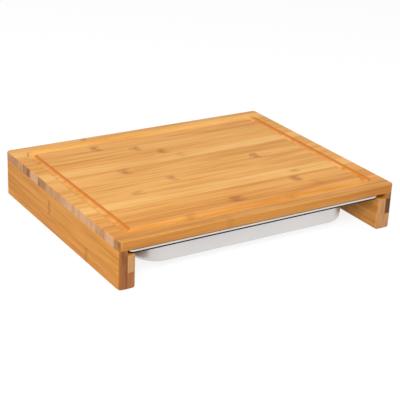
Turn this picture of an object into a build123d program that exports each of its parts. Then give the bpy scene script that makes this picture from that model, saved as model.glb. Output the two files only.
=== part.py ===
from build123d import *
import os

# A bamboo cutting board on two side legs, with a steel tray that slides in
# under it. Millimetres. The origin is at the bottom centre, +Z is up, and the
# open front, where the tray is pulled out, faces -Y.

# ---- Driving dimensions -------------------------------------------------

# The board, glued up from bamboo staves that run from side to side.
board_width = 380.0
board_depth = 305.0
board_thickness = 11.0
stave_width = 21.7
front_stave_width = 13.3
top_edge_radius = 1.2
plan_corner_radius = 5.0

# The juice groove, cut with a ball-nosed cutter on a line this far in from the edges.
groove_width = 12.0
groove_cut_depth = 3.5
groove_inset = 22.4
groove_inner_corner = 2.0

# The legs: an outer panel that carries the board, and a lower rail glued to it.
# The panel's first glue line lies a little below the rail's, by glue_line_step.
leg_height = 47.0
slot_height = 7.0
panel_thickness = 10.5
rail_thickness = 10.5
glue_line_step = 0.35
foot_chamfer = 1.2
rail_nose_radius = 4.0
runner_chamfer = 1.0

# Hidden dowels between the board and each panel, this many staves in from its ends.
staves_outside_dowels = 3
dowel_diameter = 6.0
dowel_length = 20.0
dowel_in_board = 7.0
dowel_glue_gap = 0.05
dowel_end_gap = 0.5

# The lath at the back that the tray's rim stops against.
stop_width = 10.0
stop_edge_radius = 0.6

# The tray, drawn from one sheet of steel, with its rim folded under at the edge.
sheet = 0.8
rim_corner_radius = 9.0
rim_edge_chamfer = 0.3
hem_width = 5.0
front_setback = 3.1
side_flange = 28.0
end_flange = 16.5
tray_height = 31.0
wall_draft_angle = 2.5
pan_corner_radius = 33.0
pan_bottom_radius = 5.0
throat_bend = 1.6

# Running clearances of the tray. It stands nearer to the left leg, as photographed.
left_gap = 1.75
right_gap = 7.75
lift_gap = 0.2
stop_gap = 0.3

# ---- Worked out from these ----------------------------------------------

LEFT, RIGHT = -1, 1
board_top = leg_height + board_thickness
board_front = -board_depth / 2
board_back = board_depth / 2
full_staves = int((board_depth - front_stave_width) // stave_width)
glue_lines = [
    board_front,
    *[board_front + front_stave_width + n * stave_width for n in range(full_staves + 1)],
    board_back,
]

rail_height = leg_height - slot_height
rail_strip_height = rail_height / 2
panel_strip_height = rail_strip_height - glue_line_step
panel_inner_face = board_width / 2 - panel_thickness
rail_centre = panel_inner_face - rail_thickness / 2

dowel_bottom = leg_height + dowel_in_board - dowel_length
dowel_offset = board_width / 2 - panel_thickness / 2

# A cutter of this radius, sunk by groove_cut_depth, leaves groove_width open.
cutter_radius = (groove_width**2 / 4 + groove_cut_depth**2) / (2 * groove_cut_depth)
cutter_height = board_top + cutter_radius - groove_cut_depth
cutter_turn_radius = groove_width / 2 + groove_inner_corner

rim_bottom = rail_height + lift_gap
rim_top = rim_bottom + 2 * sheet
rim_width = 2 * panel_inner_face - left_gap - right_gap
tray_shift = (left_gap - right_gap) / 2
rim_depth = board_depth - front_setback - stop_width - stop_gap
rim_centre = board_front + front_setback + rim_depth / 2
pan_width = rim_width - 2 * side_flange
pan_depth = rim_depth - 2 * end_flange
# The inside of the bend into the floor is cut where it would touch the round bend.
floor_bend_cut = (2 - 2**0.5) * (pan_bottom_radius - sheet)
# Both faces of the bend between pan and rim are cut at 45 degrees, one sheet apart.
upper_throat_bend = throat_bend + (2 - 2**0.5) * sheet


def save(part, name):
    """Labels a finished piece and writes it to its own file."""
    part.label = name
    export_step(part, f"parts/{name}.step")


def dowel_places(side):
    """The centres of one leg's dowels, each in the middle of a stave."""
    last_stave = len(glue_lines) - 2
    dowelled = (staves_outside_dowels, last_stave - staves_outside_dowels)
    return [
        (side * dowel_offset, (glue_lines[n] + glue_lines[n + 1]) / 2) for n in dowelled
    ]


def dowel_row(side, radius, bottom, top):
    """Upright round bars at one leg's dowel places: the dowels or their holes."""
    with BuildPart() as row:
        with BuildSketch(Plane.XY.offset(bottom)):
            with Locations(*dowel_places(side)):
                Circle(radius)
        extrude(amount=top - bottom)
    return row.part


def dowel_holes(side):
    """The holes that one leg's dowels are glued into."""
    return dowel_row(
        side,
        dowel_diameter / 2 + dowel_glue_gap,
        dowel_bottom - dowel_end_gap,
        dowel_bottom + dowel_length + dowel_end_gap,
    )


def slice_between(part, low, high):
    """The strip of a leg blank between two heights."""
    with BuildPart() as strip:
        add(part)
        with BuildSketch(Plane.XY.offset(low)):
            Rectangle(2 * board_width, 2 * board_depth)
        extrude(amount=high - low, mode=Mode.INTERSECT)
    return strip.part


# ---- Board --------------------------------------------------------------

def groove_cutter():
    """The space swept by a ball-nosed cutter that is led once round the board."""
    across = board_width / 2 - groove_inset
    along = board_depth / 2 - groove_inset
    corners = [(-across, -along), (across, -along), (across, along), (-across, along)]
    with BuildPart() as cutter:
        with BuildLine(Plane.XY.offset(cutter_height)) as route:
            FilletPolyline(*corners, radius=cutter_turn_radius, close=True)
        path = route.wires()[0]
        with BuildSketch(Plane(origin=path @ 0, z_dir=path % 0)):
            Circle(cutter_radius)
        sweep(path=path)
    return cutter.part


def glued_board():
    """The whole board with its rounds, juice groove and dowel holes."""
    with BuildPart() as board:
        with BuildSketch(Plane.XY.offset(leg_height)):
            RectangleRounded(board_width, board_depth, plan_corner_radius)
        extrude(amount=board_thickness)
        fillet(board.faces().sort_by(Axis.Z)[-1].edges(), top_edge_radius)
        add(groove_cutter(), mode=Mode.SUBTRACT)
        add(dowel_holes(LEFT), mode=Mode.SUBTRACT)
        add(dowel_holes(RIGHT), mode=Mode.SUBTRACT)
    return board.part


def save_staves(board):
    """Cuts the board along its glue lines and writes each stave, front to back."""
    for number, (near, far) in enumerate(zip(glue_lines, glue_lines[1:]), start=1):
        with BuildPart() as stave:
            add(board)
            with BuildSketch(Plane.XY.offset(leg_height)):
                with Locations((0, (near + far) / 2)):
                    Rectangle(board_width, far - near)
            extrude(amount=board_thickness, mode=Mode.INTERSECT)
        save(stave.part, f"board_stave_{number:02d}")


# ---- Legs ---------------------------------------------------------------

def panel_blank(side):
    """An outer panel, flush with the board's end and rounded with its corners."""
    with BuildPart() as panel:
        with BuildSketch():
            RectangleRounded(board_width, board_depth, plan_corner_radius)
            with Locations((-side * panel_thickness, 0)):
                Rectangle(board_width, board_depth, mode=Mode.SUBTRACT)
        extrude(amount=leg_height)
        foot_edges = panel.faces().sort_by(Axis.Z)[0].edges()
        glued_edge_first = foot_edges.sort_by(lambda edge: side * edge.center().X)
        chamfer(glued_edge_first[1:], foot_chamfer)
        add(dowel_holes(side), mode=Mode.SUBTRACT)
    return panel.part


def rail_blank(side):
    """A rail under the slot, eased where the tray enters and where hands reach."""
    with BuildPart() as rail:
        with BuildSketch() as footprint:
            with Locations((side * rail_centre, 0)):
                Rectangle(rail_thickness, board_depth)
            free_corners = footprint.vertices().sort_by(lambda corner: -side * corner.X)
            fillet(free_corners[2:], rail_nose_radius)
        extrude(amount=rail_height)
        foot_edges = rail.faces().sort_by(Axis.Z)[0].edges()
        glued_edge_first = foot_edges.sort_by(lambda edge: -side * edge.center().X)
        chamfer(glued_edge_first[1:], foot_chamfer)
        runner_edges = rail.faces().sort_by(Axis.Z)[-1].edges()
        glued_edge_first = runner_edges.sort_by(lambda edge: -side * edge.center().X)
        chamfer(glued_edge_first[1:], runner_chamfer)
    return rail.part


def save_leg(side, hand):
    """Writes one leg: three panel strips, two rail strips and the dowels."""
    panel = panel_blank(side)
    second_joint = 2 * panel_strip_height
    save(slice_between(panel, 0, panel_strip_height), f"{hand}_panel_lower")
    save(slice_between(panel, panel_strip_height, second_joint), f"{hand}_panel_middle")
    save(slice_between(panel, second_joint, leg_height), f"{hand}_panel_upper")
    rail = rail_blank(side)
    save(slice_between(rail, 0, rail_strip_height), f"{hand}_rail_lower")
    save(slice_between(rail, rail_strip_height, rail_height), f"{hand}_rail_upper")
    dowels = dowel_row(
        side, dowel_diameter / 2, dowel_bottom, dowel_bottom + dowel_length
    )
    save(dowels, f"{hand}_dowels")


# ---- Rear stop ----------------------------------------------------------

def rear_stop():
    """A lath that fills the slot across the back, on both rails."""
    with BuildPart() as stop:
        with BuildSketch(Plane.XY.offset(rail_height)):
            with Locations((0, board_back - stop_width / 2)):
                Rectangle(2 * panel_inner_face, stop_width)
        extrude(amount=slot_height)
        under_edges = stop.faces().sort_by(Axis.Z)[0].edges().filter_by(Axis.X)
        fillet(under_edges, stop_edge_radius)
    return stop.part


# ---- Tray ---------------------------------------------------------------

def drawn_pan(inward):
    """A tapered pan form, drawn in from the outer skin by the given thickness."""
    with BuildPart() as pan:
        with BuildSketch(Plane.XY.offset(rim_top)):
            with Locations((tray_shift, rim_centre)):
                RectangleRounded(
                    pan_width - 2 * inward,
                    pan_depth - 2 * inward,
                    pan_corner_radius - inward,
                )
        extrude(amount=inward - tray_height, taper=wall_draft_angle)
    return pan.part


def pan_outside():
    """The pan's outer form, with its round bend into the floor."""
    with BuildPart() as outside:
        add(drawn_pan(0))
        fillet(outside.faces().sort_by(Axis.Z)[0].edges(), pan_bottom_radius)
    return outside.part


def pan_inside():
    """The space in the pan. Its bend into the floor is cut straight, at 45 degrees."""
    with BuildPart() as inside:
        add(drawn_pan(sheet))
        chamfer(inside.faces().sort_by(Axis.Z)[0].edges(), floor_bend_cut)
    return inside.part


def tray_part():
    """The tray: pan, flat rim with soft bends into the pan, and a folded hem."""
    with BuildPart() as tray:
        add(pan_outside())
        with BuildSketch(Plane.XY.offset(rim_top - sheet)):
            with Locations((tray_shift, rim_centre)):
                RectangleRounded(rim_width, rim_depth, rim_corner_radius)
        extrude(amount=sheet)
        flat_faces = tray.faces().filter_by(Plane.XY)
        rim_underside = flat_faces.sort_by(Axis.Z)[-2]
        chamfer(rim_underside.inner_wires()[0].edges(), throat_bend)
        add(pan_inside(), mode=Mode.SUBTRACT)
        rim_face = tray.faces().sort_by(Axis.Z)[-1]
        chamfer(rim_face.inner_wires()[0].edges(), upper_throat_bend)
        with BuildSketch(Plane.XY.offset(rim_bottom)):
            with Locations((tray_shift, rim_centre)):
                RectangleRounded(rim_width, rim_depth, rim_corner_radius)
                RectangleRounded(
                    rim_width - 2 * hem_width,
                    rim_depth - 2 * hem_width,
                    rim_corner_radius - hem_width,
                    mode=Mode.SUBTRACT,
                )
        extrude(amount=sheet)
        rim_top_edges = tray.faces().sort_by(Axis.Z)[-1].outer_wire().edges()
        chamfer(rim_top_edges, rim_edge_chamfer)
    return tray.part


os.makedirs("parts", exist_ok=True)
save_staves(glued_board())
save_leg(LEFT, "left")
save_leg(RIGHT, "right")
save(rear_stop(), "rear_stop")
save(tray_part(), "tray")
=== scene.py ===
"""A bamboo cutting board on two side legs, with a steel tray that slides in under it.

The wooden pieces keep their solid meshes and get their bamboo here. The tray is
made again from one sheet, with its bends, its folded rim and the low roll along
the rim's edge. Lengths are in metres, and MM makes metres of millimetres.
"""
import logging
import math
import random
from dataclasses import dataclass, field
from enum import Enum

import bmesh
import bpy
from mathutils import Matrix, Vector


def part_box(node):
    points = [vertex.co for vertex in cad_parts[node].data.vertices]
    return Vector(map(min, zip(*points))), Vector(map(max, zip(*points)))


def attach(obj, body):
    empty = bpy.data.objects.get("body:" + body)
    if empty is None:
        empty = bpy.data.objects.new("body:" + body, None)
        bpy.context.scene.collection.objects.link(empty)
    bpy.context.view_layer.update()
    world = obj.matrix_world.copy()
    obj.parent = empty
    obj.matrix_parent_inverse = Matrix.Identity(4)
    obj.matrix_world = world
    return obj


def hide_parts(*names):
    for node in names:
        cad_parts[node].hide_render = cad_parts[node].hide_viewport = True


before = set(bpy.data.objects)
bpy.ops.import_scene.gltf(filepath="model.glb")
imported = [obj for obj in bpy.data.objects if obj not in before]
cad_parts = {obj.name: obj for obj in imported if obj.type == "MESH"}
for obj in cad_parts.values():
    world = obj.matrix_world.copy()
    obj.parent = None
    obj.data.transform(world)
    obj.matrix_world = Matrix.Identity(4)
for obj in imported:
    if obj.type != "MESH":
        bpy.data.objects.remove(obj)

log = logging.getLogger("cutting_board")

Colour = tuple[float, float, float, float]
Socket = bpy.types.NodeSocket
MM = 0.001
WHITE: Colour = (1.0, 1.0, 1.0, 1.0)

# A Mix node has a pair of inputs for each kind of value. These are the colours'.
UNDER, OVER, BLENDED = 6, 7, 2


def linear(value: float) -> float:
    """One screen value from 0 to 1, made linear for the shaders."""
    return value / 12.92 if value <= 0.04045 else ((value + 0.055) / 1.055) ** 2.4


def shade(red: int, green: int, blue: int) -> Colour:
    """The colour with these screen values from 0 to 255, made linear."""
    return (linear(red / 255), linear(green / 255), linear(blue / 255), 1.0)


# ---- Laying down a material ---------------------------------------------

@dataclass(frozen=True)
class Ramp:
    """A smooth change from start to end, while what is read goes from low to high."""

    low: float
    high: float
    start: float = 0.0
    end: float = 1.0


class Recipe:
    """The node tree of a material or a world, laid down one ingredient at a time."""

    def __init__(self, holder: bpy.types.Material | bpy.types.World) -> None:
        """Empties the holder's node tree.

        Args:
            holder: The new material or world.
        """
        holder.use_nodes = True
        self.holder = holder
        self.tree = holder.node_tree
        self.tree.nodes.clear()

    def node(self, kind: str, **settings: object) -> bpy.types.Node:
        """Adds a node.

        Args:
            kind: The node type, without the shared prefix.
            **settings: Properties to set on the node.

        Returns:
            The new node.
        """
        node = self.tree.nodes.new("ShaderNode" + kind)
        for name, value in settings.items():
            setattr(node, name, value)
        return node

    def feed(self, socket: Socket, source: object) -> None:
        """Puts a value on a socket, or links another socket to it.

        Args:
            socket: The input to feed.
            source: An output socket or a value.
        """
        if isinstance(source, bpy.types.NodeSocket):
            self.tree.links.new(source, socket)
        else:
            socket.default_value = source

    def math(self, operation: str, first: object, second: object = 0.0) -> Socket:
        """Works out one number from two.

        Args:
            operation: The name of the operation, such as MULTIPLY.
            first: A socket or a number.
            second: A socket or a number.

        Returns:
            The socket that holds the result.
        """
        node = self.node("Math", operation=operation)
        self.feed(node.inputs[0], first)
        self.feed(node.inputs[1], second)
        return node.outputs[0]

    def distance(self, value: Socket, mark: float) -> Socket:
        """How far a value lies from a mark, to either side."""
        return self.math("ABSOLUTE", self.math("SUBTRACT", value, mark))

    def blend(self, amount: object, under: object, over: object) -> Socket:
        """Lays one colour over another.

        Args:
            amount: How much of the upper colour shows, from 0 to 1.
            under: The lower colour.
            over: The upper colour.

        Returns:
            The socket that holds the blended colour.
        """
        node = self.node("Mix", data_type="RGBA")
        self.feed(node.inputs["Factor"], amount)
        self.feed(node.inputs[UNDER], under)
        self.feed(node.inputs[OVER], over)
        return node.outputs[BLENDED]

    def ramp(self, value: Socket, ramp: Ramp) -> Socket:
        """Carries a value smoothly from one range to another.

        Args:
            value: The socket to read.
            ramp: What is read, and what becomes of it.

        Returns:
            The socket that holds the result.
        """
        node = self.node("MapRange", interpolation_type="SMOOTHSTEP")
        self.feed(node.inputs["Value"], value)
        node.inputs["From Min"].default_value = ramp.low
        node.inputs["From Max"].default_value = ramp.high
        node.inputs["To Min"].default_value = ramp.start
        node.inputs["To Max"].default_value = ramp.end
        return node.outputs["Result"]

    def place(self) -> Socket:
        """The point being shaded, in the piece's own metres."""
        return self.node("TexCoord").outputs["Object"]

    def facing(self) -> Socket:
        """The way the surface faces, in the piece's own axes."""
        return self.node("TexCoord").outputs["Normal"]

    def split(self, vector: Socket) -> dict[str, Socket]:
        """Takes a vector apart.

        Args:
            vector: The socket that holds it.

        Returns:
            Its X, Y and Z, by name.
        """
        node = self.node("SeparateXYZ")
        self.feed(node.inputs[0], vector)
        return {name: node.outputs[name] for name in "XYZ"}

    def streaks(self, point: Socket, start: Vector, scale: Vector, detail: float) -> Socket:
        """Cloudy noise that is drawn out along the axis with the smallest scale.

        Args:
            point: Where the noise is read.
            start: A shift that makes each piece's noise its own.
            scale: Features per metre along each axis.
            detail: How many finer layers are added.

        Returns:
            The noise, about 0.5 on average.
        """
        mapping = self.node("Mapping")
        self.feed(mapping.inputs["Vector"], point)
        mapping.inputs["Location"].default_value = start
        mapping.inputs["Scale"].default_value = scale
        noise = self.node("TexNoise")
        noise.inputs["Scale"].default_value = 1.0
        noise.inputs["Detail"].default_value = detail
        self.feed(noise.inputs["Vector"], mapping.outputs[0])
        return noise.outputs[0]

    def seen_by(self, *kinds: str) -> Socket:
        """Tells the rays that only look from those that carry light.

        Args:
            *kinds: The kinds of ray, such as Camera.

        Returns:
            1 for a ray of one of these kinds, and 0 for any other.
        """
        rays = self.node("LightPath")
        seen, *others = (rays.outputs[f"Is {kind} Ray"] for kind in kinds)
        for other in others:
            seen = self.math("MAXIMUM", seen, other)
        return seen

    def show(
        self, output: str, amount: Socket, plain: bpy.types.Node, other: bpy.types.Node
    ) -> None:
        """Ends the tree with a mix of two shaders.

        Args:
            output: The kind of output node, such as OutputMaterial.
            amount: How much of the other shader shows, from 0 to 1.
            plain: The shader that shows where the amount is 0.
            other: The shader that shows where the amount is 1.
        """
        both = self.node("MixShader")
        self.feed(both.inputs[0], amount)
        self.feed(both.inputs[1], plain.outputs[0])
        self.feed(both.inputs[2], other.outputs[0])
        self.feed(self.node(output).inputs["Surface"], both.outputs[0])

    def surface(self) -> bpy.types.Node:
        """Adds the shader and the output.

        Returns:
            The shader.
        """
        shader = self.node("BsdfPrincipled")
        self.feed(self.node("OutputMaterial").inputs["Surface"], shader.outputs[0])
        return shader

    def relief(self, shader: bpy.types.Node, height: Socket, depth: float) -> None:
        """Gives a shader a fine relief.

        Args:
            shader: The shader to give it to.
            height: The relief's height, from 0 to 1.
            depth: The depth that a height of 1 stands for.
        """
        bump = self.node("Bump")
        bump.inputs["Strength"].default_value = 1.0
        bump.inputs["Distance"].default_value = depth
        self.feed(bump.inputs["Height"], height)
        self.feed(shader.inputs["Normal"], bump.outputs[0])


# ---- Bamboo -------------------------------------------------------------

class Grain(Enum):
    """The way a strip's fibres run."""

    ACROSS_THE_BOARD = "X"
    FRONT_TO_BACK = "Y"


class Tone(Enum):
    """A strip's own colour, as its pale and its deep shade."""

    GOLD = (shade(240, 184, 106), shade(222, 158, 78))
    HONEY = (shade(234, 172, 92), shade(212, 144, 64))
    TOFFEE = (shade(230, 165, 84), shade(207, 136, 56))
    AMBER = (shade(225, 158, 77), shade(201, 128, 50))
    MARIGOLD = (shade(224, 152, 60), shade(199, 126, 40))
    COPPER = (shade(213, 150, 74), shade(188, 122, 50))


class EndTone(Enum):
    """The colour of a strip's cut end, as its ground and its dots."""

    LIGHT = (shade(192, 142, 92), shade(172, 120, 74))
    RED = (shade(168, 110, 64), shade(146, 90, 48))
    BROWN = (shade(150, 96, 54), shade(124, 74, 38))
    PEACH = (shade(222, 172, 128), shade(204, 150, 104))
    TAN = (shade(208, 154, 104), shade(184, 128, 80))
    UMBER = (shade(182, 128, 80), shade(134, 84, 44))
    DARK = (shade(112, 68, 36), shade(86, 50, 26))


@dataclass(frozen=True)
class Knuckle:
    """A joint of the bamboo cane, which shows as a brown smudge on its strip.

    Attributes:
        along: Where it lies along the strip.
        strength: How dark it is, from 0 to 1.
        spread: How far its brown runs along the strip.
        reach: How far it runs to either side of the strip's middle.
        bow: How far it bends ahead at the strip's middle.
        full_share: How much of its reach shows at full strength.
    """

    along: float
    strength: float = 0.7
    spread: float = 9 * MM
    reach: float = 11 * MM
    bow: float = 2.5 * MM
    full_share: float = 0.5


@dataclass(frozen=True)
class Strip:
    """What one strip looks like: its tone, its cut ends and its knuckles."""

    tone: Tone
    end_tone: EndTone = EndTone.RED
    knuckles: tuple[Knuckle, ...] = ()


@dataclass(frozen=True)
class Streak:
    """One size of mark along the fibres.

    Attributes:
        length: Its size along the grain.
        width: Its size across the grain.
        detail: How many finer layers it has.
        share: How much it counts in the strip's colour.
    """

    length: float
    width: float
    detail: float = 2.0
    share: float = 0.0


@dataclass(frozen=True)
class Bamboo:
    """The oiled bamboo of one strip, with knuckles, glue lines and cut ends.

    Attributes:
        name: The node's name, which also starts the strip's own noise.
        grain: The way the fibres run.
        strip: The strip's colours and knuckles.
        seams: Where its glue lines lie.
        seam_axis: The axis along which the glue lines are measured.
        seam_strength: How dark a glue line is at its middle, from 0 to 1.
        seam_width: How far it fades out to either side.
        routed_within: How far from the middle a groove may show, 0 for none.
        routed_fade: Over what length its colour fades out beyond that.
        start_spread: How far from 0 the noise may start, along each axis.
        drift, streak, fibre: The marks that colour the strip, the largest first.
        smudge: The marks that break up its knuckles.
        deepening: How the marks bring in the deep shade.
        roughness: How the streaks change the roughness.
        gloss: How strongly the oiled face reflects.
        relief_depth: How deep the relief of the fibres is.
        knuckle_line: How dark a knuckle's line is, by the distance from it.
        halo_start: Where the brown on both sides of that line starts to fade.
        halo_gaps: How the smudge breaks that brown up.
        wander: How far the smudge moves a knuckle along the strip.
        bundle_size: How far apart the dots on a cut end are.
        bundle_edge: How dark a dot is, by the distance from its middle.
        patch_scale: How many darker patches a metre of cut end has.
        patch_detail: How many finer layers the patches have.
        patch_edge: How the patches stand out.
        ply: How thick a ply of the cut end is.
        ply_line: How dark the line between plies is, by the distance from it.
        cut_across: How the cut colour comes in as a face turns towards the grain.
        sloping_up: How the groove's colour comes in as a cut face turns up.
    """

    name: str
    grain: Grain
    strip: Strip
    seams: tuple[float, ...] = ()
    seam_axis: str = "Y"
    seam_strength: float = 0.35
    seam_width: float = 0.3 * MM
    routed_within: float = 0.0
    routed_fade: float = 1 * MM
    start_spread: float = 50.0

    drift: Streak = Streak(260 * MM, 22 * MM, 2.0, 0.37)
    streak: Streak = Streak(90 * MM, 3.4 * MM, 3.0, 0.43)
    fibre: Streak = Streak(38 * MM, 0.8 * MM, 2.0, 0.2)
    smudge: Streak = Streak(6 * MM, 1.9 * MM)
    deepening: Ramp = Ramp(0.4, 0.62)
    roughness: Ramp = Ramp(0.3, 0.7, 0.42, 0.54)
    gloss: float = 0.15
    relief_depth: float = 0.05 * MM

    knuckle_line: Ramp = Ramp(0.2 * MM, 1.6 * MM, 0.8, 0.0)
    halo_start: float = 1 * MM
    halo_gaps: Ramp = Ramp(0.38, 0.6, 0.15, 1.0)
    wander: Ramp = Ramp(0.3, 0.7, -1 * MM, 1 * MM)

    bundle_size: float = 0.9 * MM
    bundle_edge: Ramp = Ramp(0.2, 0.5, 0.6, 0.0)
    patch_scale: Vector = Vector((240.0, 120.0, 35.0))
    patch_detail: float = 1.0
    patch_edge: Ramp = Ramp(0.5, 0.62, 0.0, 0.8)
    ply: float = 3.6 * MM
    ply_line: Ramp = Ramp(0.0, 0.5 * MM, 0.35, 0.0)

    cut_across: Ramp = Ramp(0.3, 0.8)
    sloping_up: Ramp = Ramp(0.1, 0.4)

    knuckle_brown: Colour = shade(158, 88, 30)
    glue_brown: Colour = shade(160, 94, 38)
    routed_orange: Colour = shade(206, 122, 48)

    def start(self) -> Vector:
        """Where this strip's noise starts, drawn from its name."""
        draw = random.Random(self.name)
        return Vector([draw.uniform(-self.start_spread, self.start_spread) for _ in range(3)])

    def noise(self, recipe: Recipe, point: Socket, streak: Streak) -> Socket:
        """Lays down one size of mark along the grain.

        Args:
            recipe: The material being laid down.
            point: The point being shaded.
            streak: The mark's size.

        Returns:
            The noise, about 0.5 on average.
        """
        scale = Vector((1 / streak.width, 1 / streak.width, 1 / streak.width))
        scale["XY".index(self.grain.value)] = 1 / streak.length
        return recipe.streaks(point, self.start(), scale, streak.detail)

    def knuckle_mark(self, recipe: Recipe, place: dict[str, Socket], smudge: Socket) -> Socket:
        """How strongly any knuckle shows, from 0 to 1.

        Args:
            recipe: The material being laid down.
            place: The point being shaded, by axis.
            smudge: Noise that breaks each knuckle up.

        Returns:
            The strength of the darkest knuckle here.
        """
        aside = recipe.distance(place[self.seam_axis], sum(self.seams) / len(self.seams))
        broken = recipe.ramp(smudge, self.halo_gaps)
        along = recipe.math("ADD", place[self.grain.value], recipe.ramp(smudge, self.wander))
        mark: object = 0.0
        for knuckle in self.strip.knuckles:
            bow = recipe.ramp(aside, Ramp(0.0, knuckle.reach, knuckle.bow, 0.0))
            apart = recipe.distance(recipe.math("ADD", along, bow), knuckle.along)
            line = recipe.ramp(apart, self.knuckle_line)
            brown = recipe.ramp(apart, Ramp(self.halo_start, knuckle.spread, 1.0, 0.0))
            halo = recipe.math("MULTIPLY", brown, broken)
            full_reach = knuckle.full_share * knuckle.reach
            within = recipe.ramp(aside, Ramp(full_reach, knuckle.reach, knuckle.strength, 0.0))
            shown = recipe.math("MULTIPLY", recipe.math("MAXIMUM", line, halo), within)
            mark = recipe.math("MAXIMUM", mark, shown)
        return mark

    def seam_mark(self, recipe: Recipe, place: dict[str, Socket]) -> Socket:
        """How strongly a glue line shows, from 0 to 1.

        Args:
            recipe: The material being laid down.
            place: The point being shaded, by axis.

        Returns:
            The strength of the nearest glue line here.
        """
        fading = Ramp(0.0, self.seam_width, self.seam_strength, 0.0)
        mark: object = 0.0
        for seam in self.seams:
            apart = recipe.distance(place[self.seam_axis], seam)
            mark = recipe.math("MAXIMUM", mark, recipe.ramp(apart, fading))
        return mark

    def end_colour(self, recipe: Recipe, point: Socket, place: dict[str, Socket]) -> Socket:
        """The colour of the strip's cut end: dots of fibre bundles, patches and plies.

        Args:
            recipe: The material being laid down.
            point: The point being shaded.
            place: The same point, by axis.

        Returns:
            The colour.
        """
        dots = recipe.node("TexVoronoi", feature="F1")
        dots.inputs["Scale"].default_value = 1 / self.bundle_size
        recipe.feed(dots.inputs["Vector"], point)
        bundles = recipe.ramp(dots.outputs["Distance"], self.bundle_edge)
        clouds = recipe.streaks(point, self.start(), self.patch_scale, self.patch_detail)
        patches = recipe.ramp(clouds, self.patch_edge)
        ground, dot = self.strip.end_tone.value
        colour = recipe.blend(recipe.math("MAXIMUM", bundles, patches), ground, dot)
        ply_axis = "Y" if self.grain is Grain.ACROSS_THE_BOARD else "X"
        layer = recipe.math("PINGPONG", place[ply_axis], self.ply / 2)
        return recipe.blend(recipe.ramp(layer, self.ply_line), colour, self.glue_brown)

    def routed_mark(self, recipe: Recipe, place: dict[str, Socket], upward: Socket) -> Socket:
        """How strongly the freshly routed wood of a groove shows, from 0 to 1.

        Args:
            recipe: The material being laid down.
            place: The point being shaded, by axis.
            upward: How much the surface faces up.

        Returns:
            The strength, 0 at and near the strip's ends.
        """
        from_middle = recipe.distance(place[self.grain.value], 0.0)
        fading = Ramp(self.routed_within, self.routed_within + self.routed_fade, 1.0, 0.0)
        inside = recipe.ramp(from_middle, fading)
        return recipe.math("MULTIPLY", recipe.ramp(upward, self.sloping_up), inside)

    def material(self) -> bpy.types.Material:
        """Lays the strip's material down.

        Returns:
            The material.
        """
        recipe = Recipe(bpy.data.materials.new(f"bamboo_{self.name}"))
        point = recipe.place()
        place = recipe.split(point)
        drift = self.noise(recipe, point, self.drift)
        streak = self.noise(recipe, point, self.streak)
        fibre = self.noise(recipe, point, self.fibre)
        body: object = 0.0
        for noise, size in ((drift, self.drift), (streak, self.streak), (fibre, self.fibre)):
            body = recipe.math("ADD", body, recipe.math("MULTIPLY", noise, size.share))
        pale, deep = self.strip.tone.value
        colour = recipe.blend(recipe.ramp(body, self.deepening), pale, deep)
        if self.strip.knuckles:
            mark = self.knuckle_mark(recipe, place, self.noise(recipe, point, self.smudge))
            colour = recipe.blend(mark, colour, self.knuckle_brown)
        if self.seams:
            colour = recipe.blend(self.seam_mark(recipe, place), colour, self.glue_brown)

        facing = recipe.split(recipe.facing())
        cut_colour = self.end_colour(recipe, point, place)
        if self.routed_within:
            routed = self.routed_mark(recipe, place, facing["Z"])
            cut_colour = recipe.blend(routed, cut_colour, self.routed_orange)
        along_grain = recipe.math("ABSOLUTE", facing[self.grain.value])
        colour = recipe.blend(recipe.ramp(along_grain, self.cut_across), colour, cut_colour)

        shader = recipe.surface()
        shader.inputs["Specular IOR Level"].default_value = self.gloss
        recipe.feed(shader.inputs["Base Color"], colour)
        recipe.feed(shader.inputs["Roughness"], recipe.ramp(streak, self.roughness))
        recipe.relief(shader, fibre, self.relief_depth)
        return recipe.holder


# ---- Steel and beech ----------------------------------------------------

@dataclass(frozen=True)
class SatinSteel:
    """Drawn stainless sheet with a satin face, rolled along X.

    Attributes:
        name: The material's name.
        colour: Its colour where it is brightest.
        roughness: Its roughness on average.
        metallic: How much it is a bare metal, from 0 to 1.
        line: The size of its rolling lines, and how much they change the roughness.
        line_start: Where the noise of the lines starts.
        clouds: How many faint clouds a metre has.
        cloud_start: Where the noise of the clouds starts.
        cloud_detail: How many finer layers the clouds have.
        cloud_depth: What is left of the colour in a cloud.
        relief_depth: How deep the relief of the lines is.
    """

    name: str
    colour: Colour
    roughness: float
    metallic: float
    line: Streak = Streak(60 * MM, 0.5 * MM, 3.0, 0.12)
    line_start: Vector = Vector((3, 7, 1))
    clouds: Vector = Vector((14, 14, 14))
    cloud_start: Vector = Vector((1, 2, 3))
    cloud_detail: float = 2.0
    cloud_depth: float = 0.84
    relief_depth: float = 0.004 * MM

    def material(self) -> bpy.types.Material:
        """Lays the steel down.

        Returns:
            The material.
        """
        recipe = Recipe(bpy.data.materials.new(self.name))
        point = recipe.place()
        lines_per_metre = Vector((1 / self.line.length, 1 / self.line.width, 1 / self.line.width))
        brushed = recipe.streaks(point, self.line_start, lines_per_metre, self.line.detail)
        cloudy = recipe.streaks(point, self.cloud_start, self.clouds, self.cloud_detail)
        darker = tuple(self.cloud_depth * part for part in self.colour[:3]) + (1.0,)
        change = recipe.math("MULTIPLY", brushed, self.line.share)
        worn = recipe.math("ADD", change, self.roughness - self.line.share / 2)
        shader = recipe.surface()
        shader.inputs["Metallic"].default_value = self.metallic
        recipe.feed(shader.inputs["Base Color"], recipe.blend(cloudy, self.colour, darker))
        recipe.feed(shader.inputs["Roughness"], worn)
        recipe.relief(shader, brushed, self.relief_depth)
        return recipe.holder


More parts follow.
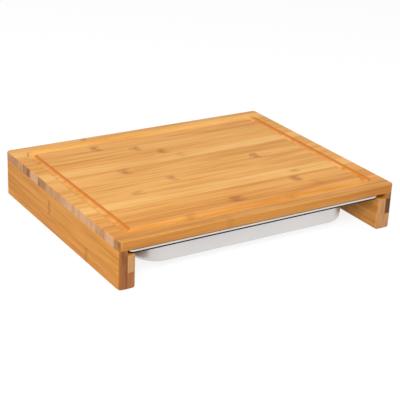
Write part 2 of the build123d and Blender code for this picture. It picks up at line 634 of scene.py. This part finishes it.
@dataclass(frozen=True)
class TurnedBeech:
    """Plain turned hardwood with upright grain, for the hidden dowels."""

    name: str = "turned_beech"
    pale: Colour = shade(214, 176, 132)
    deep: Colour = shade(182, 138, 94)
    roughness: float = 0.6
    grain_scale: Vector = Vector((900, 900, 60))
    grain_start: Vector = Vector((2, 5, 9))
    grain_detail: float = 3.0

    def material(self) -> bpy.types.Material:
        """Lays the beech down.

        Returns:
            The material.
        """
        recipe = Recipe(bpy.data.materials.new(self.name))
        point = recipe.place()
        grain = recipe.streaks(point, self.grain_start, self.grain_scale, self.grain_detail)
        shader = recipe.surface()
        shader.inputs["Roughness"].default_value = self.roughness
        recipe.feed(shader.inputs["Base Color"], recipe.blend(grain, self.pale, self.deep))
        return recipe.holder


# ---- Pieces -------------------------------------------------------------

def dress(piece: bpy.types.Object, *materials: bpy.types.Material) -> None:
    """Gives a piece its materials.

    Args:
        piece: The piece to dress.
        *materials: Its materials, in slot order.
    """
    while len(piece.material_slots) < len(materials):
        piece.data.materials.append(None)
    for slot, material in zip(piece.material_slots, materials):
        slot.material = material


def stand(mesh: bmesh.types.BMesh, name: str) -> bpy.types.Object:
    """Makes a finished mesh an object of the scene, at the origin.

    Args:
        mesh: The mesh, which is freed.
        name: The name of the object and of its mesh.

    Returns:
        The new object.
    """
    data = bpy.data.meshes.new(name)
    mesh.to_mesh(data)
    mesh.free()
    piece = bpy.data.objects.new(name, data)
    bpy.context.scene.collection.objects.link(piece)
    return piece


# ---- Board --------------------------------------------------------------

@dataclass
class Board:
    """The glued board: staves side by side, front to back, with a juice groove.

    Attributes:
        plain_end: How far in from its ends no stave has any groove.
        staves: What each stave looks like, the front one first.
    """

    plain_end: float = 5 * MM
    staves: tuple[Strip, ...] = (
        Strip(Tone.COPPER, EndTone.UMBER, (Knuckle(-48 * MM, 0.3),)),
        Strip(
            Tone.TOFFEE,
            EndTone.PEACH,
            (Knuckle(-83 * MM, 0.45, 13 * MM), Knuckle(57 * MM, 0.3, 14 * MM)),
        ),
        Strip(
            Tone.AMBER,
            EndTone.TAN,
            (Knuckle(-10 * MM, 0.75, 17 * MM), Knuckle(110 * MM, 0.3, 12 * MM)),
        ),
        Strip(Tone.TOFFEE, EndTone.PEACH, (Knuckle(92 * MM, 0.85, 11 * MM),)),
        Strip(Tone.GOLD, EndTone.PEACH, (Knuckle(107 * MM, 0.55, 10 * MM, 6 * MM),)),
        Strip(Tone.HONEY, EndTone.PEACH, (Knuckle(-102 * MM, 0.45, 12 * MM, 8 * MM, 6 * MM),)),
        Strip(Tone.HONEY, EndTone.PEACH, (Knuckle(-45 * MM, 0.6, 9 * MM),)),
        Strip(Tone.HONEY, EndTone.TAN, (Knuckle(90 * MM, 0.8, 10 * MM),)),
        Strip(Tone.HONEY, EndTone.TAN, (Knuckle(-87 * MM, 0.65, 12 * MM),)),
        Strip(Tone.GOLD, EndTone.UMBER, (Knuckle(8 * MM, 0.3, 9 * MM, 9 * MM, 5 * MM),)),
        Strip(Tone.TOFFEE, EndTone.PEACH, (Knuckle(-10 * MM, 0.65, 11 * MM),)),
        Strip(Tone.HONEY, EndTone.UMBER, (Knuckle(-37 * MM, 0.65, 10 * MM),)),
        Strip(Tone.TOFFEE, EndTone.TAN, (Knuckle(-84 * MM, 0.75, 10 * MM),)),
        Strip(Tone.GOLD, EndTone.TAN),
        Strip(Tone.HONEY, EndTone.TAN, (Knuckle(-82 * MM, 0.7, 9 * MM),)),
    )

    def dress(self) -> None:
        """Gives each stave its bamboo."""
        for number, strip in enumerate(self.staves, start=1):
            name = f"board_stave_{number:02d}"
            low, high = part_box(name)
            bamboo = Bamboo(
                name,
                Grain.ACROSS_THE_BOARD,
                strip,
                (low.y, high.y),
                routed_within=high.x - self.plain_end,
            )
            dress(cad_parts[name], bamboo.material())


# ---- Legs ---------------------------------------------------------------

@dataclass
class Leg:
    """One side leg: a panel of three strips, and a rail of two that carries the tray.

    Attributes:
        hand: The side it stands on, left or right.
        strips: What each strip looks like, by its name without the side.
        seam_strength: How strongly its glue lines show, from 0 to 1.
    """

    hand: str
    strips: dict[str, Strip]
    seam_strength: float = 0.15

    def dress(self) -> None:
        """Gives each strip its bamboo, and the dowels their beech."""
        for part, strip in self.strips.items():
            name = f"{self.hand}_{part}"
            low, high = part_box(name)
            bamboo = Bamboo(
                name,
                Grain.FRONT_TO_BACK,
                strip,
                (low.z, high.z),
                "Z",
                self.seam_strength,
            )
            dress(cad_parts[name], bamboo.material())
        dress(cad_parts[f"{self.hand}_dowels"], TurnedBeech().material())


LEFT_LEG = Leg(
    "left",
    {
        "panel_lower": Strip(
            Tone.MARIGOLD, EndTone.BROWN, (Knuckle(-73.5 * MM, 0.5, 6 * MM, 14 * MM, 0.0),)
        ),
        "panel_middle": Strip(
            Tone.MARIGOLD, EndTone.BROWN, (Knuckle(24.5 * MM, 0.7, 5 * MM, 14 * MM, 0.0),)
        ),
        "panel_upper": Strip(Tone.MARIGOLD, EndTone.BROWN),
        "rail_lower": Strip(Tone.COPPER, EndTone.RED),
        "rail_upper": Strip(Tone.AMBER, EndTone.LIGHT),
    },
)

RIGHT_LEG = Leg(
    "right",
    {
        "panel_lower": Strip(Tone.AMBER, EndTone.LIGHT),
        "panel_middle": Strip(Tone.COPPER, EndTone.DARK, (Knuckle(-30 * MM, 0.6),)),
        "panel_upper": Strip(Tone.COPPER, EndTone.RED),
        "rail_lower": Strip(Tone.COPPER, EndTone.LIGHT, (Knuckle(60 * MM, 0.5),)),
        "rail_upper": Strip(Tone.COPPER, EndTone.LIGHT),
    },
)


@dataclass
class RearStop:
    """The lath across the back that the tray's rim stops against."""

    strip: Strip = Strip(Tone.HONEY)

    def dress(self) -> None:
        """Gives the lath its bamboo."""
        bamboo = Bamboo("rear_stop", Grain.ACROSS_THE_BOARD, self.strip)
        dress(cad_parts["rear_stop"], bamboo.material())


# ---- Tray ---------------------------------------------------------------

@dataclass(frozen=True)
class Ring:
    """A level line round the tray, along which its sheet bends or ends."""

    width: float
    depth: float
    corner: float
    level: float

    def further_in(self, inset: float, level: float) -> "Ring":
        """The ring that lies further in by the inset, at a level of its own."""
        return Ring(self.width - 2 * inset, self.depth - 2 * inset, self.corner - inset, level)


@dataclass
class Tray:
    """The steel tray, drawn from one sheet, with a low roll along its rim's edge.

    The mesh starts as the skin that shows: the pan's inside, the flat rim, the
    roll and the underside of the hem. Then it gets the sheet's thickness.

    Attributes:
        sheet: The steel's thickness.
        side_flange: How far the rim reaches from the pan at its sides.
        end_flange: How far it reaches from the pan at the front and the back.
        hem_width: How far the hem is folded in under the rim.
        hem_gap: What is left between the rim and the hem.
        roll_height: How far the roll stands up from the rim.
        painted_shade_reach: How far up the roll the painted shade along the rim's edge goes.
        roll_width: How wide the roll's crest is.
        roll_bend: The radius of the crest's two bends.
        rim_corner: The radius of the rim's corners.
        pan_corner: The radius of the pan's corners, on the outside of the sheet.
        draft: How far the walls lean out.
        floor_bend: The radius inside the bend from the floor to the walls.
        throat_bend: The radius outside the bend from the walls to the rim.
        corner_steps: How many faces make each corner's round.
        bend_steps: How many faces make each bend.
        spacing: How far apart the rings are laid while they are bridged.
        shading_weight: How strongly large faces set the shading of the bends.
        body_steel: The finish of the pan and the rim.
        painted_edge_shade: The painted shade along the rim's edge, a near-black steel that stands
            in for the shadow there.
    """

    sheet: float = 0.8 * MM
    side_flange: float = 28 * MM
    end_flange: float = 16.5 * MM
    hem_width: float = 5 * MM
    hem_gap: float = 0.06 * MM
    roll_height: float = 3.0 * MM
    painted_shade_reach: float = 0.5 * MM
    roll_width: float = 2.3 * MM
    roll_bend: float = 1.1 * MM
    rim_corner: float = 9 * MM
    pan_corner: float = 33 * MM
    draft: float = math.radians(2.5)
    floor_bend: float = 4.2 * MM
    throat_bend: float = 2.4 * MM
    corner_steps: int = 16
    bend_steps: int = 6
    spacing: float = 60 * MM
    shading_weight: int = 100
    body_steel: SatinSteel = SatinSteel("satin_steel", shade(222, 219, 217), 0.32, 0.8)
    # The rim's edge gets painted shade: a near-black steel stands in for the shadow along it.
    painted_edge_shade: SatinSteel = SatinSteel("folded_edge_painted_shade", shade(36, 30, 26), 0.45, 0.9)

    def rings(self, low: Vector, high: Vector) -> tuple[Ring, ...]:
        """Works out the lines along which the sheet bends, from the floor outwards.

        Args:
            low: The lowest corner of the solid tray.
            high: Its highest corner.

        Returns:
            The rings of the floor, the throat, the roll's root, its inner and its
            outer crest, the top of the painted shade, the rim's edge and the hem's end.
        """
        span = high - low
        floor_level = low.z + self.sheet
        under = high.z - 2 * self.sheet
        crest = high.z + self.roll_height
        drawn_in = (high.z - floor_level) * math.tan(self.draft)
        throat = Ring(
            span.x - 2 * (self.side_flange + self.sheet),
            span.y - 2 * (self.end_flange + self.sheet),
            self.pan_corner - self.sheet,
            high.z,
        )
        edge = Ring(span.x, span.y, self.rim_corner, under)
        return (
            throat.further_in(drawn_in, floor_level),
            throat,
            edge.further_in(self.roll_width + self.roll_bend, high.z),
            edge.further_in(self.roll_width, crest),
            edge.further_in(0.0, crest),
            edge.further_in(0.0, high.z + self.painted_shade_reach),
            edge,
            edge.further_in(self.hem_width, under),
        )

    def lay(self, mesh: bmesh.types.BMesh, ring: Ring, centre: Vector) -> bmesh.types.BMFace:
        """Lays a flat sheet with rounded corners that fills a ring.

        Args:
            mesh: The mesh to add it to.
            ring: The ring, whose level isn't used yet.
            centre: Where the sheet's middle lies.

        Returns:
            The sheet's face.
        """
        stretch = Matrix.Translation(centre) @ Matrix.Diagonal((ring.width, ring.depth, 1.0, 1.0))
        square = bmesh.ops.create_grid(mesh, x_segments=1, y_segments=1, size=0.5, matrix=stretch)
        rounded = bmesh.ops.bevel(
            mesh,
            geom=square["verts"],
            offset=ring.corner,
            offset_type="OFFSET",
            segments=self.corner_steps,
            profile=0.5,
            affect="VERTICES",
            material=-1,
        )
        return rounded["verts"][0].link_faces[0]

    def bend(
        self, mesh: bmesh.types.BMesh, edges: list[bmesh.types.BMEdge], radius: float
    ) -> None:
        """Rounds the sheet along closed lines of edges.

        Args:
            mesh: The mesh that holds them.
            edges: The sharp edges.
            radius: The bend's radius on the skin.
        """
        bmesh.ops.bevel(
            mesh,
            geom=edges,
            offset=radius,
            offset_type="OFFSET",
            segments=self.bend_steps,
            profile=0.5,
            affect="EDGES",
            material=-1,
            clamp_overlap=True,
        )

    def skin(self) -> bmesh.types.BMesh:
        """Makes the skin that shows, with its bends.

        The rings are laid one above another and bridged in turn. Only then does
        each go to its own level, because some of them lie inside each other.

        Returns:
            An open mesh whose faces point to the outside of the sheet.
        """
        low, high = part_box("tray")
        middle = (low + high) / 2
        rings = self.rings(low, high)
        mesh = bmesh.new()
        sheets = [
            self.lay(mesh, ring, Vector((middle.x, middle.y, number * self.spacing)))
            for number, ring in enumerate(rings)
        ]
        lines = [list(sheet.edges) for sheet in sheets]
        points = [list(sheet.verts) for sheet in sheets]
        bmesh.ops.delete(mesh, geom=sheets[1:], context="FACES_ONLY")
        bands = [
            bmesh.ops.bridge_loops(mesh, edges=inner + outer)["faces"]
            for inner, outer in zip(lines, lines[1:])
        ]
        for number, ring in enumerate(rings):
            drop = ring.level - number * self.spacing
            bmesh.ops.translate(mesh, verts=points[number], vec=(0.0, 0.0, drop))
        bmesh.ops.recalc_face_normals(mesh, faces=mesh.faces)
        floor_sheet = sheets[0]
        if floor_sheet.normal.z < 0:
            bmesh.ops.reverse_faces(mesh, faces=mesh.faces)

        floor, throat, root, inner_crest, outer_crest, _, edge, _ = lines
        # The band round the rim's edge takes the second material, its painted shade.
        *_, painted_shade_band, _ = bands
        for face in painted_shade_band:
            face.material_index = 1
        self.bend(mesh, floor, self.floor_bend)
        self.bend(mesh, throat, self.throat_bend)
        self.bend(mesh, root, self.sheet)
        self.bend(mesh, inner_crest + outer_crest, self.roll_bend)
        self.bend(mesh, edge, self.sheet)
        return mesh

    def build(self) -> bpy.types.Object:
        """Makes the tray in its place on the rails.

        Returns:
            The finished object.
        """
        mesh = self.skin()
        # Half the gap is taken from the rim's sheet and half from the hem's.
        thickness = self.sheet - self.hem_gap / 2
        bmesh.ops.solidify(mesh, geom=mesh.faces[:], thickness=thickness)
        for face in mesh.faces:
            face.smooth = True
        tray = stand(mesh, "steel_tray")
        dress(tray, self.body_steel.material(), self.painted_edge_shade.material())
        even = tray.modifiers.new("even_shading", "WEIGHTED_NORMAL")
        even.weight = self.shading_weight
        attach(tray, "tray")
        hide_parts("tray")
        return tray


# ---- Studio -------------------------------------------------------------

@dataclass
class SoftLamp:
    """A large square lamp that shines at the middle of the object.

    Attributes:
        name: The lamp's name.
        place: Where it hangs.
        side: The length of its side.
        power: Its power in watts.
        target: Where it points.
    """

    name: str
    place: Vector
    side: float
    power: float
    target: Vector = field(default_factory=lambda: Vector((0.0, 0.0, 0.03)))

    def hang(self) -> None:
        """Puts the lamp in the scene."""
        light = bpy.data.lights.new(self.name, "AREA")
        light.shape = "SQUARE"
        light.size = self.side
        light.energy = self.power
        lamp = bpy.data.objects.new(self.name, light)
        lamp.location = self.place
        lamp.rotation_euler = (self.place - self.target).to_track_quat("Z", "Y").to_euler()
        bpy.context.scene.collection.objects.link(lamp)


@dataclass
class Studio:
    """A plain pale floor, soft light from all round and two large lamps.

    Attributes:
        floor_side: The length of the floor's side.
        floor_drop: How far the floor lies below the feet, so that the faces don't meet.
        floor_white: How much light the floor gives back.
        glow_share: How much of the floor's look is an even white.
        glow: The strength of that white.
        sky: The strength of the light from all round.
        lamps: The lamps.
    """

    floor_side: float = 12.0
    floor_drop: float = 0.1 * MM
    floor_white: float = 0.8
    glow_share: float = 0.7
    glow: float = 1.16
    sky: float = 0.48
    lamps: tuple[SoftLamp, ...] = (
        SoftLamp("key_lamp", Vector((-1.2, 0.2, 2.0)), 1.4, 8.5),
        SoftLamp("front_lamp", Vector((-0.8, -1.5, 1.45)), 1.0, 33.0),
    )

    def pale_paper(self) -> bpy.types.Material:
        """Makes the floor's paper: white to the eye, with the object's shadow on it.

        Returns:
            The material.
        """
        recipe = Recipe(bpy.data.materials.new("pale_paper"))
        matte = recipe.node("BsdfDiffuse")
        matte.inputs["Color"].default_value = (self.floor_white,) * 3 + (1.0,)
        glow = recipe.node("Emission")
        glow.inputs["Strength"].default_value = self.glow
        seen = recipe.seen_by("Camera", "Glossy", "Transmission")
        recipe.show("OutputMaterial", recipe.math("MULTIPLY", seen, self.glow_share), matte, glow)
        return recipe.holder

    def lay_floor(self) -> None:
        """Lays the floor that the legs stand on."""
        mesh = bmesh.new()
        bmesh.ops.create_grid(mesh, x_segments=1, y_segments=1, size=self.floor_side / 2)
        bmesh.ops.translate(mesh, verts=mesh.verts, vec=(0.0, 0.0, -self.floor_drop))
        floor = stand(mesh, "studio_floor")
        dress(floor, self.pale_paper())

    def light(self) -> None:
        """Lights the object from all round, and makes the background white."""
        world = bpy.data.worlds.new("studio_sky")
        bpy.context.scene.world = world
        recipe = Recipe(world)
        lit = recipe.node("Background")
        lit.inputs["Strength"].default_value = self.sky
        white = recipe.node("Background")
        for background in (lit, white):
            background.inputs["Color"].default_value = WHITE
        recipe.show("OutputWorld", recipe.seen_by("Camera", "Glossy"), lit, white)
        for lamp in self.lamps:
            lamp.hang()

    def set_up(self) -> None:
        """Lays the floor, lights the scene and sets how colours are shown."""
        self.lay_floor()
        self.light()
        bpy.context.scene.view_settings.view_transform = "Standard"


@dataclass
class Camera:
    """The photograph's camera.

    Attributes:
        place: Where it stands.
        heading: How far it is turned to the left from looking along +Y.
        tilt_down: How far it looks down.
        roll: How far it is turned about its own view.
        lens: Its focal length in millimetres.
        sensor: The width of its sensor in millimetres.
        nearest: How near it can see.
    """

    place: Vector = field(default_factory=lambda: Vector((-0.71215, -1.11721, 0.57823)))
    heading: float = math.radians(-32.765)
    tilt_down: float = math.radians(23.094)
    roll: float = math.radians(2.649)
    lens: float = 102.87
    sensor: float = 36.0
    nearest: float = 0.05

    def set_up(self) -> None:
        """Makes the camera and gives it to the scene."""
        data = bpy.data.cameras.new("photograph_view")
        data.lens = self.lens
        data.sensor_width = self.sensor
        data.clip_start = self.nearest
        camera = bpy.data.objects.new("photograph_view", data)
        camera.matrix_world = (
            Matrix.Translation(self.place)
            @ Matrix.Rotation(self.heading, 4, "Z")
            @ Matrix.Rotation(math.pi / 2 - self.tilt_down, 4, "X")
            @ Matrix.Rotation(self.roll, 4, "Z")
        )
        bpy.context.scene.collection.objects.link(camera)
        bpy.context.scene.camera = camera


# ---- The whole scene ----------------------------------------------------

def clear_starting_scene() -> None:
    """Removes what a new Blender file holds, and leaves the part's own pieces."""
    for name in ("Cube", "Light", "Camera"):
        if name in bpy.data.objects:
            bpy.data.objects.remove(bpy.data.objects[name])


def main() -> None:
    """Builds the scene, piece by piece, and logs the tray's number of faces."""
    logging.basicConfig(level=logging.INFO, format="%(message)s")
    clear_starting_scene()
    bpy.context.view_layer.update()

    Camera().set_up()
    log.info("camera: at the photograph's view")
    Studio().set_up()
    log.info("studio: floor, sky and lamps")

    board = Board()
    board.dress()
    log.info("board: %d staves", len(board.staves))
    for leg in (LEFT_LEG, RIGHT_LEG):
        leg.dress()
        log.info("%s leg: %d strips and its dowels", leg.hand, len(leg.strips))
    RearStop().dress()
    log.info("rear stop")
    tray = Tray().build()
    log.info("tray: %d faces", len(tray.data.polygons))


if __name__ == "__main__":
    main()
